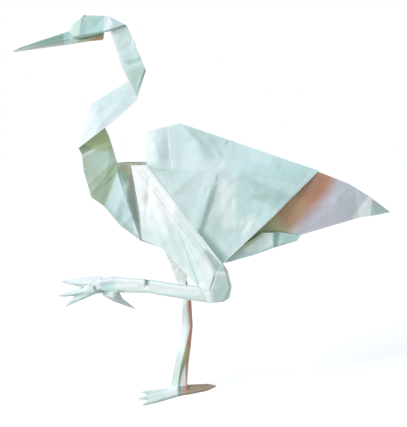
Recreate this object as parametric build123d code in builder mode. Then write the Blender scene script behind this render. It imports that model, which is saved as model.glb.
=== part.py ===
from build123d import *
from math import cos, radians, sin
import os

# Crane folded from one square sheet of thin paper, standing on one leg with the other drawn up.
# It looks towards -X, its left side is -Y and +Z is up. The origin is on the sole under the ankle.
# Sizes are in millimetres. Angles are in degrees, turned up from +X as seen from the crane's left.

os.makedirs("parts", exist_ok=True)

# Walls: the layers of the sheet that lie on each other, and how far those that touch are pressed in
lap = 0.2
wing_wall = 0.4
tail_wall = 0.35
vent_wall = 0.7
breast_wall = 0.8
neck_wall = 1.0
head_wall = 1.0
beak_wall = 0.9
thigh_wall = 0.65

# Body: two wing walls that meet in a ridge, like a tent, on both sides of the middle plane
middle = 2.4
peak_x = -1.0
peak_height = 141.2
brow_length = 16.0
brow_lean = 194.5
ridge_length = 73.3
ridge_lean = -19.2
front_length = 15.8
front_lean = 266.5
hem_length = 61.5
hem_lean = -52.5
front_spread = 5.5
hem_spread = 13.5
rear_bulge = 2.5
rear_bulge_share = 0.47
wing_tuck = 3.5
tuck_share = 0.08

# Creases pressed into each wing: shares of the way along its edges, and seven corners within it,
# each a share along from the front edge, a share down from the ridge, and so far proud of the wall
ridge_bend_share = 0.36
brow_bend_share = 0.38
hem_bend_share = 0.51
wing_along_shares = (0.18, 0.37, 0.54, 0.51, 0.66, 0.76, 0.97)
wing_down_shares = (0.46, 0.23, 0.10, 0.47, 0.97, 0.46, 0.73)
wing_rises = (0.3, 3.1, 4.6, 2.5, -0.4, 3.1, 1.3)

# Tail: a narrower tent that comes out from between the wings, with a vent flap laid on its underside
tail_lengths = (16.5, 12.0, 13.7)
tail_leans = (-24.0, -32.0, -37.0)
tail_root_share = 0.5
tail_end_gap = 3.7
tail_end_lean = -14.0
under_tail_shares = (0.25, 0.56, 0.85, 1.0)
under_tail_lifts = (2.5, 2.7, 0.1, 0.0)
under_tail_spreads = (2.0, 4.5, 6.0, 7.0)
vent_overlap = 1.0
vent_shares = (0.25, 0.4)

# Neck: a strip with its spine folded back over itself twice, each time round the outside
back_length = 14.8
back_lean = 180.5
spine_lengths = (32.0, 31.0, 23.8)
spine_leans = (111.5, 31.5, 112.0)
crease_lengths = (20.7, 22.5, 14.6, 8.3)
crease_leans = (232.0, 252.0, 252.5, 199.0)
neck_slope = 0.34
bend_shares = (0.45, 0.53, 0.36)
bend_bulges = (1.2, 1.7, 1.8)

# Head and beak
crown_lengths = (9.7, 12.0, 6.8, 4.1)
crown_leans = (152.0, 178.0, 217.0, 241.0)
cheek_lengths = (11.4, 11.5, 3.4)
cheek_leans = (194.0, 194.0, 185.0)
cheek_spreads = (3.8, 3.6, 2.8)
beak_lengths = (14.8, 14.3)
beak_leans = (198.0, 200.0)
jaw_depths = (3.7, 6.2)
jaw_spreads = (1.0, 1.8)
jaw_length = 16.5
jaw_lean = 7.0
jaw_end_height = 4.6
tip_depth = 0.8

# Breast
keel_lengths = (8.0, 12.8, 13.1, 10.1)
keel_leans = (-40.0, -53.0, -38.0, -20.0)
keel_spreads = (4.0, 3.0, 3.0, 2.5)
breast_top_drop = 3.9
breast_top_spread = 2.5
groove_share = 0.39
groove_rise = 2.7
groove_top_share = 0.47
groove_floor_rise = 1.0
inner_spread = 1.3
inner_reach = 2.0
inner_top_drop = 2.0

# Thighs: pleated bands that lie on the wings' lower edges
thigh_top = 7.7
thigh_top_spread = 0.5
thigh_lengths = (23.8, 13.6, 10.2, 10.0)
thigh_leans = (280.0, 274.0, 336.5, 314.0)
thigh_spreads = (8.5, 9.5, 10.5, 11.5)
thigh_end_length = 16.3
thigh_end_lean = 221.0
pleats = 3
pleat_width = 1.6

# Drawn-up leg: a knee wrapped over the end of the thigh, a shin, and a foot that hangs open
knee_lengths = (4.0, 8.6, 5.9, 3.6, 5.0)
knee_leans = (-51.0, -75.0, -102.0, -145.0, -174.0)
knee_inset = 1.0
knee_lap = 0.6
knee_depth = 2.6
cap_depth = 1.6
cap_share = 0.35
cap_width = 3.0
cap_shares = (0.1, 0.4, 0.7, 0.9)
shin_inset = 7.0
shin_drop = 5.3
shin_reaches = (0.0, 13.0, 31.5, 50.0, 57.5)
shin_rises = (0.0, 1.2, 4.0, 4.6, 3.8)
shin_heights = (8.2, 6.8, 6.5, 7.6, 6.0)
shin_spreads = (14.0, 13.4, 12.2, 11.0, 10.8)
shin_depth = 3.2
ball_inset = 2.0
ball_drop = 1.0

# Standing leg: from the hip to the sole, with a fold line that turns round it
hip_height = 57.7
hip_spread = 5.5
hip_drop = 3.2
haunch_runs = (3.0, -9.4, -20.0)
haunch_rises = (8.4, 17.6, 23.1)
haunch_spreads = (6.0, 6.5, 7.5)
leg_shares = (1.0, 0.84, 0.6, 0.26, 0.0)
leg_offsets = (-0.5, 2.1, 2.2, -0.6, -2.2)
leg_widths = (5.4, 4.4, 5.8, 7.0, 8.8)
leg_fold_shares = (0.9, 0.9, 0.8, 0.45, 0.4)
leg_depth = 4.6

# Feet: radii and turns about the ankle, first of the fan that holds the three front toes, with the
# splits between them, then of the back toe
fan_radii = (7.0, 7.8, 18.0, 22.0, 17.2, 24.9, 20.2, 27.0, 19.0, 6.0, 4.3)
fan_turns = (90.0, 168.0, 180.5, 183.5, 195.0, 204.0, 212.0, 222.5, 228.0, 251.0, 314.0)
back_toe_radii = (7.0, 15.5, 18.4, 12.0, 4.5)
back_toe_turns = (90.0, 33.0, 23.0, 6.0, -60.0)
drawn_fan_radii = (5.7, 11.0, 20.6, 9.2, 22.8, 14.0, 21.2, 6.2, 3.0, 3.5)
drawn_fan_turns = (90.0, 152.0, 172.0, 181.0, 192.5, 199.0, 210.0, 223.0, 254.0, 0.0)
drawn_back_toe_radii = (8.9, 12.3, 20.8, 10.0, 4.7)
drawn_back_toe_turns = (-21.0, -30.0, -34.0, -49.5, -75.0)
toe_height = 1.2
instep_height = 3.6
instep_share = 0.3


# Each corner of the fold is a vector: its X, how far it stands out from the middle plane, and its Z


def step(start, length, lean, out=0.0):
    """The corner that lies a length away from another in the side view."""
    return Vector(start.X + length * cos(radians(lean)), out, start.Z + length * sin(radians(lean)))


def steps(start, lengths, leans, outs=None):
    """A run of corners, each a step on from the one before."""
    run = []
    for count, (length, lean) in enumerate(zip(lengths, leans)):
        start = step(start, length, lean, outs[count] if outs else 0.0)
        run.append(start)
    return run


def between(first, second, share, proud=0.0):
    """The corner at a share of the way between two others, standing proud of their line."""
    return first + (second - first) * share + Vector(0, proud, 0)


def shifted(point, x=0.0, out=0.0, z=0.0):
    """The corner moved a little."""
    return point + Vector(x, out, z)


def bulged(first, second, share, third, bulge):
    """The corner at a share of the way between two others, pushed away from a third in the side view."""
    point = between(first, second, share)
    return point + Vector(point.X - third.X, 0, point.Z - third.Z).normalized() * bulge


def fold_out(point, spine_start, spine_end, slope):
    """The corner on a wall that slopes out from its spine, which runs in the middle plane."""
    along = (spine_end - spine_start).normalized()
    away = Vector(point.X - spine_start.X, 0, point.Z - spine_start.Z).cross(along)
    return Vector(point.X, slope * away.length, point.Z)


def facets(wall, corners, sides=(-1, 1)):
    """Flat facets of folded paper, creased from the first corner to each of the others.

    Each is drawn in its own plane and given its wall straight sideways, so that two facets
    meet in a crease with nothing standing over. Side -1 is the crane's left, 1 its right.
    """
    for side in sides:
        for second, third in zip(corners[1:], corners[2:]):
            points = [Vector(p.X, middle + side * p.Y, p.Z) for p in (corners[0], second, third)]
            across = points[1] - points[0]
            plane = Plane(origin=points[0], x_dir=across, z_dir=across.cross(points[2] - points[0]))
            with BuildSketch(plane) as facet:
                with BuildLine():
                    Polyline(*[plane.to_local_coords(point) for point in points], close=True)
                make_face()
            extrude(facet.sketch, amount=wall / 2, dir=(0, 1, 0), both=True)


# Corners of the body
peak = Vector(peak_x, 0, peak_height)
brow = step(peak, brow_length, brow_lean)
rump = step(peak, ridge_length, ridge_lean)
shoulder = step(brow, front_length, front_lean, front_spread)
hem = step(shoulder, hem_length, hem_lean, hem_spread)


def on_wing(along, down, proud):
    """A corner on the wing: a share along from its front edge, and down from its ridge."""
    return between(between(brow, rump, along), between(shoulder, hem, along), down, proud)


with BuildPart() as wings:
    (front_valley, front_rise, middle_rise, valley_start, valley_end, rear_rise,
     rear_low) = [on_wing(*at) for at in zip(wing_along_shares, wing_down_shares, wing_rises)]
    ridge_bend = between(peak, rump, ridge_bend_share)
    brow_bend = between(peak, brow, brow_bend_share)
    hem_bend = between(shoulder, hem, hem_bend_share)
    rear_edge = between(rump, hem, rear_bulge_share, rear_bulge)
    tuck = [shifted(point, x=-wing_tuck) for point in (hem, between(shoulder, hem, tuck_share))]
    facets(wing_wall, (front_valley, brow_bend, brow, shoulder, hem_bend, valley_start, front_rise,
                       peak, brow_bend))
    facets(wing_wall, (front_rise, peak, ridge_bend, middle_rise, valley_start))
    facets(wing_wall, (rear_rise, valley_start, middle_rise, rump, rear_edge, rear_low, valley_end,
                       valley_start))
    facets(wing_wall, (middle_rise, ridge_bend, rump))
    facets(wing_wall, (valley_end, valley_start, hem_bend, hem, rear_low))
    facets(wing_wall, (rear_low, rear_edge, hem))
    facets(wing_wall, (shoulder, hem, *tuck))

with BuildPart() as tail:
    tail_back = steps(rump, tail_lengths, tail_leans)
    tail_tip = tail_back[-1]
    tail_end = step(hem, tail_end_gap, tail_end_lean)
    under_tail = [shifted(between(tail_tip, tail_end, share), out=out, z=lift)
                  for share, out, lift in zip(under_tail_shares, under_tail_spreads, under_tail_lifts)]
    tail_root = between(peak, rump, tail_root_share)
    facets(tail_wall, (tail_back[0], tail_back[1], tail_tip, *under_tail, tail_root, rump))
    vent_proud = (tail_wall + vent_wall) / 2 - lap
    vent = [shifted(point, out=vent_proud) for point in under_tail[1:]]
    vent_top = [between(vent[2], rump, vent_shares[0]), between(vent[1], rump, vent_shares[1])]
    facets(vent_wall, (shifted(vent[0], z=vent_overlap), shifted(vent[0], z=-under_tail_lifts[1]),
                       *vent[1:], *vent_top))

# Neck: each strip's walls hinge on the crease that they share with the strip before
with BuildPart() as neck:
    neck_root = step(shoulder, back_length, back_lean)
    spine = [neck_root] + steps(neck_root, spine_lengths, spine_leans)
    creases = [step(*run) for run in zip(spine, crease_lengths, crease_leans)]
    creases[0] = fold_out(creases[0], spine[0], spine[1], neck_slope)
    slope = neck_slope
    for count in range(len(spine_lengths)):
        start, end = spine[count], spine[count + 1]
        if count:
            slope = creases[count].Y / fold_out(creases[count], start, end, 1).Y
        creases[count + 1] = fold_out(creases[count + 1], start, end, slope)
        corners = [start, end, creases[count + 1], creases[count]]
        if count:
            bend = bulged(creases[count], creases[count + 1], bend_shares[count], start, bend_bulges[count])
            corners.insert(3, fold_out(bend, start, end, slope))
        else:
            corners.insert(1, bulged(start, end, bend_shares[count], creases[0], bend_bulges[count]))
        facets(neck_wall, corners)

with BuildPart() as head:
    nape = spine[-1]
    crown_back, crown_front, forehead, beak_top = steps(nape, crown_lengths, crown_leans)
    cheek_back, cheek_front, chin = steps(nape, cheek_lengths, cheek_leans, cheek_spreads)
    facets(head_wall, (cheek_front, chin, beak_top, forehead, crown_front, crown_back, cheek_back))
    facets(head_wall, (cheek_back, crown_back, nape))
    facets(neck_wall, (creases[-1], nape, crown_back))

with BuildPart() as beak:
    beak_middle, beak_tip = steps(beak_top, beak_lengths, beak_leans)
    jaw_middle = shifted(beak_middle, out=jaw_spreads[0], z=-jaw_depths[0])
    jaw_root = shifted(beak_top, out=jaw_spreads[1], z=-jaw_depths[1])
    jaw_back = step(jaw_root, jaw_length, jaw_lean, jaw_spreads[1])
    facets(beak_wall, (jaw_middle, shifted(beak_tip, z=-tip_depth), beak_tip, beak_middle, beak_top,
                       jaw_root))
    facets(beak_wall, (jaw_root, beak_top, forehead, crown_front, shifted(jaw_back, z=jaw_end_height),
                       jaw_back))

# Breast: the walls below the neck, with a groove between them and the thighs
with BuildPart() as breast:
    throat = creases[0]
    breast_top = shifted(neck_root, out=breast_top_spread, z=-breast_top_drop)
    keel = steps(throat, keel_lengths, keel_leans, keel_spreads)
    groove_edge = between(breast_top, keel[2], groove_share, groove_rise)
    groove_top = between(neck_root, shoulder, groove_top_share)
    groove_top = Vector(groove_top.X, inner_spread, groove_top.Z)
    groove_end = Vector(keel[2].X, keel[3].Y, keel[2].Z + groove_floor_rise)
    inner_front = Vector(shoulder.X + inner_reach, inner_spread, shoulder.Z)
    inner_top = shifted(brow_bend, z=-inner_top_drop)
    facets(breast_wall, (breast_top, neck_root, throat, keel[0]))
    facets(breast_wall, (groove_edge, breast_top, keel[0], keel[1], keel[2]))
    facets(breast_wall, (groove_edge, keel[2], groove_end, groove_top, neck_root, breast_top))
    facets(breast_wall, (groove_end, groove_top, inner_front, inner_top, keel[3], keel[2]))

with BuildPart() as thighs:
    thigh_front = shifted(shoulder, x=-thigh_top, out=thigh_top_spread)
    thigh_end = step(hem, thigh_end_length, thigh_end_lean, hem.Y)
    thigh_edge = [*steps(thigh_front, thigh_lengths, thigh_leans, thigh_spreads), thigh_end]
    hip = Vector(leg_offsets[0], hip_spread, hip_height)
    haunch = [Vector(hip.X + run, out, hip.Z + rise)
              for run, rise, out in zip(haunch_runs, haunch_rises, haunch_spreads)]
    half_width = leg_widths[0] / 2
    hip_edge = (haunch[0], shifted(hip, x=half_width), shifted(hip, x=-half_width), *haunch[1:])
    drawn_up = (shoulder, hem, *reversed(thigh_edge), thigh_front)
    standing = (shifted(shoulder, z=-hip_drop), *hip_edge, shifted(thigh_front, z=-hip_drop))
    for count in range(pleats):
        rise = (wing_wall + thigh_wall) / 2 - lap + count * (thigh_wall - lap)
        for outline, side in ((drawn_up, -1), (standing, 1)):
            fold = shifted(outline[0], x=-count * pleat_width)
            facets(thigh_wall, [shifted(point, out=rise) for point in (fold, *outline[1:])], sides=[side])

with BuildPart() as drawn_up_leg:
    knee_back = hem.Y - knee_inset
    knee_top = shifted(hem, z=knee_lap)
    knee_outline = [knee_top, *steps(hem, knee_lengths, knee_leans), thigh_end]
    cap_top = between(hem, thigh_end, cap_share)
    cap_low = shifted(knee_outline[5], x=-cap_width)
    cap_edge = [between(cap_top, cap_low, share) for share in cap_shares]
    knee_front = [cap_top, *cap_edge, cap_low, thigh_end]
    for outline, out in ((knee_outline, knee_back), (knee_outline, knee_back + knee_depth),
                         (knee_front, knee_back + knee_depth + cap_depth)):
        with BuildSketch(Plane.XZ.offset(out - middle)):
            with BuildLine():
                Polyline(*[(point.X, point.Z) for point in outline], close=True)
            make_face()
    loft(ruled=True)

with BuildPart() as shin:
    shin_start = shifted(thigh_end, x=shin_inset, z=-shin_drop)
    for reach, rise, height, spread in zip(shin_reaches, shin_rises, shin_heights, shin_spreads):
        at = (shin_start.X - reach, middle - spread, shin_start.Z + rise)
        with BuildSketch(Plane(origin=at, x_dir=(0, 1, 0), z_dir=(-1, 0, 0))):
            with BuildLine():
                Polyline((shin_depth / 2, height / 2), (-shin_depth / 4, height / 2),
                         (-shin_depth / 2, height / 4), (-shin_depth / 2, -height / 4),
                         (-shin_depth / 4, -height / 2), (shin_depth / 2, -height / 2), close=True)
            make_face()
    loft(ruled=True)


def foot(plane, radii, turns):
    """Toes of folded paper: flat below, and creased from each corner up to the instep."""
    outline = [Vector(radius * cos(radians(turn)), radius * sin(radians(turn)), 0)
               for radius, turn in zip(radii, turns)]
    layers = []
    for height, share in ((0, 1.0), (toe_height, 1.0), (instep_height, instep_share)):
        with BuildSketch(plane.offset(height)) as layer:
            with BuildLine():
                Polyline(*[point * share for point in outline], close=True)
            make_face()
        layers.append(layer.sketch)
    loft(layers, ruled=True)


with BuildPart() as drawn_up_foot:
    ball = (shin_start.X - shin_reaches[-1] + ball_inset, middle - shin_spreads[-1] + instep_height / 2,
            shin_start.Z + shin_rises[-1] - ball_drop)
    side_on = Plane(origin=ball, x_dir=(1, 0, 0), z_dir=(0, -1, 0))
    foot(side_on, drawn_fan_radii, drawn_fan_turns)
    foot(side_on, drawn_back_toe_radii, drawn_back_toe_turns)

with BuildPart() as standing_leg:
    for share, offset, width, fold_share in zip(leg_shares, leg_offsets, leg_widths, leg_fold_shares):
        at = (offset, (middle + hip_spread) * share, hip_height * share)
        with BuildSketch(Plane.XY.move(Location(at))):
            with BuildLine():
                Polyline((-width / 2, 0), (width * (fold_share - 0.5), -leg_depth / 2), (width / 2, 0),
                         (0, leg_depth / 2), close=True)
            make_face()
    loft(ruled=True)

with BuildPart() as standing_foot:
    foot(Plane.XY, fan_radii, fan_turns)
    foot(Plane.XY, back_toe_radii, back_toe_turns)

with BuildPart() as crane:
    add(wings.part)
    for piece in (tail, neck, head, beak, breast, thighs, drawn_up_leg, shin, drawn_up_foot,
                  standing_leg, standing_foot):
        add(piece.part)

crane.part.label = "crane"
export_step(crane.part, "parts/crane.step")
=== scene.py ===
from math import cos, pi, radians, sin

import bmesh
import bpy
import numpy as np
from bpy.props import FloatProperty, FloatVectorProperty, IntProperty, PointerProperty
from bpy.types import Operator, Panel, PropertyGroup
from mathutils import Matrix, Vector, noise


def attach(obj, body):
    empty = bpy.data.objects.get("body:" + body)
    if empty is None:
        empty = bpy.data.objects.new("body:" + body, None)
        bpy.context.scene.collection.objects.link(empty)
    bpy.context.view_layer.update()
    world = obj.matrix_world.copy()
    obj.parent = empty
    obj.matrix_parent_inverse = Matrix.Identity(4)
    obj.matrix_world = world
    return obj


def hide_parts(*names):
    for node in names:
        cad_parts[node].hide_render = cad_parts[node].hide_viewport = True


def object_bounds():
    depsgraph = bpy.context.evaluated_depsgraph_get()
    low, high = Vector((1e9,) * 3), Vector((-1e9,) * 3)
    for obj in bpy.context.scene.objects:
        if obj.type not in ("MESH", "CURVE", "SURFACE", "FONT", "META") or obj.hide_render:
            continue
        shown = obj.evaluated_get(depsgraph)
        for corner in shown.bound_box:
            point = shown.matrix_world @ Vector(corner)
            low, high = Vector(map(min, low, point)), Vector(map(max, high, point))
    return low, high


bl_info = {
    "name": "Folded paper crane",
    "version": (1, 0, 0),
    "blender": (4, 5, 0),
    "location": "3D View > Sidebar > Crane",
    "description": "Dresses the crane's frame in folded, creased and crumpled thin paper",
    "category": "Mesh",
}

MM = 0.001
EASE_IN = 1.5 * MM  # Distance from a crease over which the rounding of a fold eases in
SEAM = 1e-7  # A point this near the middle plane, in metres, lies on it
NO_LENGTH, NO_SHADE = 1e-12, 1e-6  # Stand in for 0 where something is divided by it
CRISP_ANGLE = radians(16)  # Faces that meet at a sharper fold than this keep a crisp edge
TOE_TIP = 0.6  # Thickness of a toe's tip, as a share of the thickness at its edge
MIX_FIRST, MIX_SECOND, MIX_RESULT = 6, 7, 2  # Sockets of a Mix node that is set to colour

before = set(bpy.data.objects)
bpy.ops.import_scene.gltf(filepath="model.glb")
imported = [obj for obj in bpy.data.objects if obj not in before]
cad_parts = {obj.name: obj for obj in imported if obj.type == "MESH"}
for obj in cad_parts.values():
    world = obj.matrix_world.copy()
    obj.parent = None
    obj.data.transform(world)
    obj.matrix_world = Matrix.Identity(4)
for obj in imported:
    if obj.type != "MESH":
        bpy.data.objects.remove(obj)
cad_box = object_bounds()


def linear(hex_code):
    """An sRGB hex colour as the linear red, green and blue that Blender works in."""
    channels = [int(hex_code[i:i + 2], 16) / 255 for i in (1, 3, 5)]
    return [c / 12.92 if c <= 0.04045 else ((c + 0.055) / 1.055) ** 2.4 for c in channels]


def number(name, default, low, high, description, unit="NONE"):
    """A number that can be set."""
    return FloatProperty(name=name, default=default, min=low, max=high, unit=unit,
                         description=description)


def length(name, default, low, high, description):
    """A length that can be set. Its default, least and greatest values are in millimetres."""
    return FloatProperty(name=name, default=default * MM, min=low * MM, max=high * MM, unit="LENGTH",
                         precision=5, description=description)


def paint(name, default, description):
    """A colour that can be set. Its default is an sRGB hex colour."""
    return FloatVectorProperty(name=name, default=linear(default), size=3, min=0, max=1,
                               subtype="COLOR", description=description)


class CranePaper(PropertyGroup):
    """The sheet that the crane is folded from, how folding has marked it, and the colours of the light and
    shade painted on it.
    """

    colour: paint("Paper colour", "#CCDFE1", "Pale mint of the sheet where it lies flat")
    cloud_colour: paint("Cloud colour", "#BFD6D5", "Where the pulp lies thicker and looks greener")
    crease_colour: paint("Crease colour", "#E6F1EF", "Where folding has broken the surface")
    # Painted light: near white painted on facets that face the lamp, and on thin lit edges, to light them
    # further
    painted_light_colour: paint("Bleached colour", "#F5F9FA", "Where the sheet has faded almost to white")
    # Painted light: a lighter, stronger teal painted on faces turned from the lamp, to lift them
    painted_lit_teal_colour: paint("Fresh colour", "#BFE8E8", "Where the dye has kept its first strength")
    # Painted shade: teal painted in hollows, in dents and on faces turned from the lamp
    teal_colour: paint("Teal colour", "#9DC0BA", "Where the dye lies thicker, as in hollows and dents")
    # Painted shade: dark green painted in tight folds, grooves and cast shadows
    deep_colour: paint("Deep colour", "#5F8377", "Where the dye has gathered in tight folds")
    # Painted shade: olive painted in the shadow that folds cast on the layers under them
    olive_colour: paint("Olive colour", "#A5BA8C", "Where the sheet has yellowed under a fold")
    # Painted shadow: brown painted where shadows lie, as beside the wings' rear edge and on the standing
    # leg's far side, with the warm light of a wooden table in them
    warm_colour: paint("Warm colour", "#B17A61", "Where the sheet has browned")
    # Painted shade: grey painted where light falls dimly, as on the tail below the wings
    lilac_colour: paint("Lilac colour", "#BDBFCC", "Where the sheet has greyed")
    crease_strength: number("Crease strength", 0.15, 0, 1, "Share of the crease colour on a crease")
    thickness: length("Layer thickness", 0.26, 0.05, 2, "Two layers of the sheet pressed together")
    detail: length("Mesh detail", 0.95, 0.3, 6, "Longest edge of the crumpled mesh")
    crumple: length("Crumple height", 0.62, 0, 3, "How far crumpled paper stands off its facet")
    crumple_spread: length("Crumple spread", 12, 2, 60, "Distance from one crumple to the next")
    flat_band: length("Flat band", 3.5, 0.5, 20, "Width beside each crease that the fold keeps flat")
    crease_width: length("Crease width", 0.7, 0.1, 4, "Width of the whitened line along a crease")
    cloud_spread: length("Cloud spread", 16, 1, 80, "Size of the clouds in the pulp")
    fibre_length: length("Fibre length", 2.2, 0.2, 10, "Length of the fibres that show in the surface")
    fibre_height: length("Fibre height", 0.12, 0, 1, "How far the fibres stand up in the surface")


class CraneFold(PropertyGroup):
    """Sizes of the fold that a folder would choose."""

    middle: length("Middle plane", 2.4, -20, 20, "How far the body's middle lies beside the standing foot")
    pleats: IntProperty(name="Pleats", default=3, min=1, max=6, description="Layers on each thigh")
    pleat_width: length("Pleat width", 2.2, 0.5, 6, "How much of each pleat shows beside the next")
    pleat_height: length("Pleat height", 0.32, 0.1, 3, "How far each pleat lies above the one below")
    knee_depth: length("Knee depth", 4.2, 1, 10, "How far the knee's cap stands out from the knee's back")
    shin_depth: length("Shin depth", 3.2, 1, 8, "Thickness of the layers in the drawn-up shin")
    leg_depth: length("Leg depth", 4.6, 1, 10, "Thickness of the standing leg from side to side")
    toe_height: length("Toe height", 1.2, 0.4, 4, "Thickness of a toe at its edge")
    instep_height: length("Instep height", 3.6, 1, 8, "Height of the instep over the sole")


class CraneStage(PropertyGroup):
    """The floor, the light and the camera."""

    floor_size: length("Floor size", 1100, 500, 30000, "Length of the square floor's side")
    floor_colour: paint("Floor colour", "#E8E8E8", "The floor as the camera sees it")
    floor_glow: number("Floor glow", 0.33, 0, 1, "Added to the floor that the camera sees, to whiten it")
    bounce_colour: paint("Bounce colour", "#D8CABA", "Warm light that a wooden table throws back")
    key_power: number("Key light", 7.6, 0, 200, "Large soft lamp at the upper left", unit="POWER")
    key_colour: paint("Key colour", "#FDFFFF", "Colour of the large soft lamp")
    glow_power: number("Glow", 0.5, 0, 200, "Warm lamp low at the right, as from lit wood", unit="POWER")
    glow_colour: paint("Glow colour", "#FF9C5E", "Colour of the warm lamp")
    fill_strength: number("Fill light", 0.84, 0, 3, "Strength of the even light from all around")
    fill_colour: paint("Fill colour", "#EAF2F9", "Colour of the even light from all around")
    camera_distance: length("Camera distance", 700, 200, 5000, "From the camera to what it aims at")
    camera_rise: number("Camera rise", radians(15), 0, pi / 2, "Angle above the level", unit="ROTATION")
    camera_lens: number("Camera lens", 118, 20, 400, "Focal length on a 36 mm sensor, in millimetres")


# Corners of the fold in millimetres: X, how far out from the middle plane, Z
CORNERS = dict(
    # Wings, from the ridge down
    brow=(-16.5, 0, 137.2), brow_low=(-17, 0.7, 135.3), roll_top=(-10.8, 0, 138.7),
    valley_top=(-6.9, 0, 139.7), peak=(-1, 0, 141.2), ridge_bend=(23.9, 0, 132.5),
    ridge_rear=(46, 0, 124.8), rump=(68.2, 0, 117.1), roll_mid=(-12, 4, 130.5),
    roll_low=(-11.4, 6.6, 123.2), valley_mid=(-6.3, 2.4, 131.9), valley_low=(-5.4, 4.5, 124.4),
    crest_mid=(7.9, 3.9, 132.2), crest_low=(10.4, 6.6, 124), dip=(15.6, 2.8, 128.9),
    dip_low=(20.7, 5.2, 123.9), band_back=(26.6, 5.4, 122.8), band_front=(-10.8, 7.2, 119.1),
    band_low=(-5.4, 7, 119.1), band_mid=(15.3, 7.7, 119.1), band_rear=(26.6, 6.8, 119.1),
    shoulder=(-17.5, 5.5, 121.4), valley_start=(15.8, 8.3, 112), streak=(11.9, 9.3, 100.5),
    valley_end=(7.9, 10.8, 89.8), lift=(21.7, 8.9, 104.4), rear_mid=(31.1, 8.8, 104.3),
    rear_low=(32.2, 11, 85.4), knee_zone=(19.8, 11.3, 84.6), rear_rise=(44.5, 7, 108.7),
    rear_line=(43.5, 5.6, 114.5), rear_fold=(61.4, 2.9, 111.2), rear_edge=(45.6, 8.8, 96.2),
    hem=(20, 13.5, 72.6), hem_bend=(1.6, 9.8, 96.5),
    # Tail, from its root under the wings to its tip
    tail_root=(33.6, 0, 128.4), tail_top=(66, 0, 117.4), tail_a=(83.3, 0, 110.4),
    tail_b=(93.5, 0, 104), tail_tip=(104.4, 0, 95.8), light_top=(86.4, 0.3, 108.3),
    light_low=(89, 1, 93.2), tip_low=(96.6, 1.9, 94.6), under_a=(84, 2, 92),
    under_b=(69, 3.3, 87.8), under_c=(59, 4.2, 84.9), under_d=(35.7, 6, 75.4),
    tail_end=(23.6, 7, 71.7), tail_bow=(62, 3.4, 99), tail_mid=(76, 3, 100),
    # Vent flap on the tail's underside
    vent_low=(57.6, 5.2, 82.4), vent_step=(59.1, 4.9, 84.8), vent_fold=(48.8, 5.9, 87),
    vent_dent=(45.2, 7.2, 80.6), vent_under=(46.4, 6.2, 79), vent_top=(39.8, 6.6, 86.7),
    vent_back=(27.5, 7.4, 78.6), vent_side=(35.7, 7.2, 75.4), vent_end=(20.9, 9.6, 71.9),
    # Neck: the spine, and the creases that the strips share
    neck_root=(-32.3, 0, 121.3), lower_bend=(-36.3, 0, 135.3), lower_top=(-44, 0, 151.1),
    middle_top=(-17.6, 0, 167.3), nape=(-26.5, 0, 189.3), throat=(-45, 6.1, 105),
    lower_crease=(-50.9, 4.9, 129.7), lower_left=(-48.6, 5.5, 118.3), lower_fold=(-37.5, 3.4, 114.6),
    strip_left=(-49.3, 5.1, 126.6), strip_right=(-35.6, 0.8, 131), middle_bend=(-33.8, 3.9, 142.9),
    middle_crease=(-21.9, 3.2, 153.3), middle_face=(-34.5, 2.6, 148.6), upper_bend=(-29, 2.9, 168.9),
    upper_crease=(-34.3, 2.8, 186.6), upper_back=(-18.6, 0, 170.4), upper_front=(-26, 2.3, 169.6),
    # Head, beak and jaw
    crown_back=(-35, 0, 193.9), crown_front=(-47, 0, 194.3), forehead=(-52.5, 0, 190.2),
    beak_top=(-54.4, 0, 186.6), cheek_back=(-37.5, 3.8, 186.6), cheek_front=(-48.7, 3.6, 183.8),
    chin=(-52.1, 2.8, 183.5), strip_top=(-36.6, 0, 194), strip_low=(-35.4, 3.9, 187),
    cheek_fold=(-33.4, 1.6, 191.2), collar=(-33.2, 3.6, 187.4), collar_back=(-27, 0.8, 188.9),
    beak_middle=(-68.5, 0, 182.1), beak_tip=(-82, 0, 177.2), beak_tip_low=(-82, 0.2, 176.4),
    jaw_middle=(-68.5, 1, 178.4), beak_fold=(-67.8, 1.3, 180.4), fold_root=(-54.2, 2.2, 183.4),
    jaw_root=(-54.4, 1.8, 180.4), jaw_fold=(-46, 2.4, 183), jaw_low=(-45.3, 1.8, 181.9),
    jaw_back=(-38.1, 1.8, 182.6), jaw_end=(-37.6, 1.4, 186.8),
    # Breast, and the groove between it and the thighs
    breast_top=(-32.3, 2.5, 117.4), keel_a=(-38.9, 4, 99.8), keel_b=(-31.2, 3, 89.6),
    keel_c=(-20.8, 3, 81.6), keel_d=(-11.4, 2.5, 78.1), breast_face=(-27.8, 5.4, 103.4),
    groove_top=(-25.3, 1.3, 121.4), groove_mid=(-22.8, 1.7, 102.4), groove_end=(-20.8, 2.5, 82.6),
    inner_front=(-15.5, 1.3, 121.4), inner_top=(-6.9, 0, 137.2),
    # Thighs, from the shoulder to the knee
    thigh_middle=(-4, 9.6, 95), knee_top=(16, 16.5, 69.5), knee_front=(13.4, 16.8, 60.2),
    knee_low=(15.2, 16.5, 53.6), knee_wrap=(12.9, 15.6, 52.7), thigh_front=(-25.2, 6, 121.4),
    thigh_a=(-21, 8.5, 98), thigh_b=(-20.1, 9.5, 84.4), thigh_c=(-10.7, 10.5, 80.4),
    thigh_d=(-3.8, 11.5, 73.2), thigh_end=(7.7, 14.9, 61.9), far_shoulder=(-17.5, 5.5, 118.2),
    far_front=(-25.2, 6, 118.2), haunch_a=(2.5, 6, 66.1), haunch_b=(-9.9, 6.5, 75.3),
    haunch_c=(-20.5, 7.5, 80.8), hip_back=(2.2, 5.5, 57.7), hip_front=(-3.2, 5.5, 57.7),
)

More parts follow.
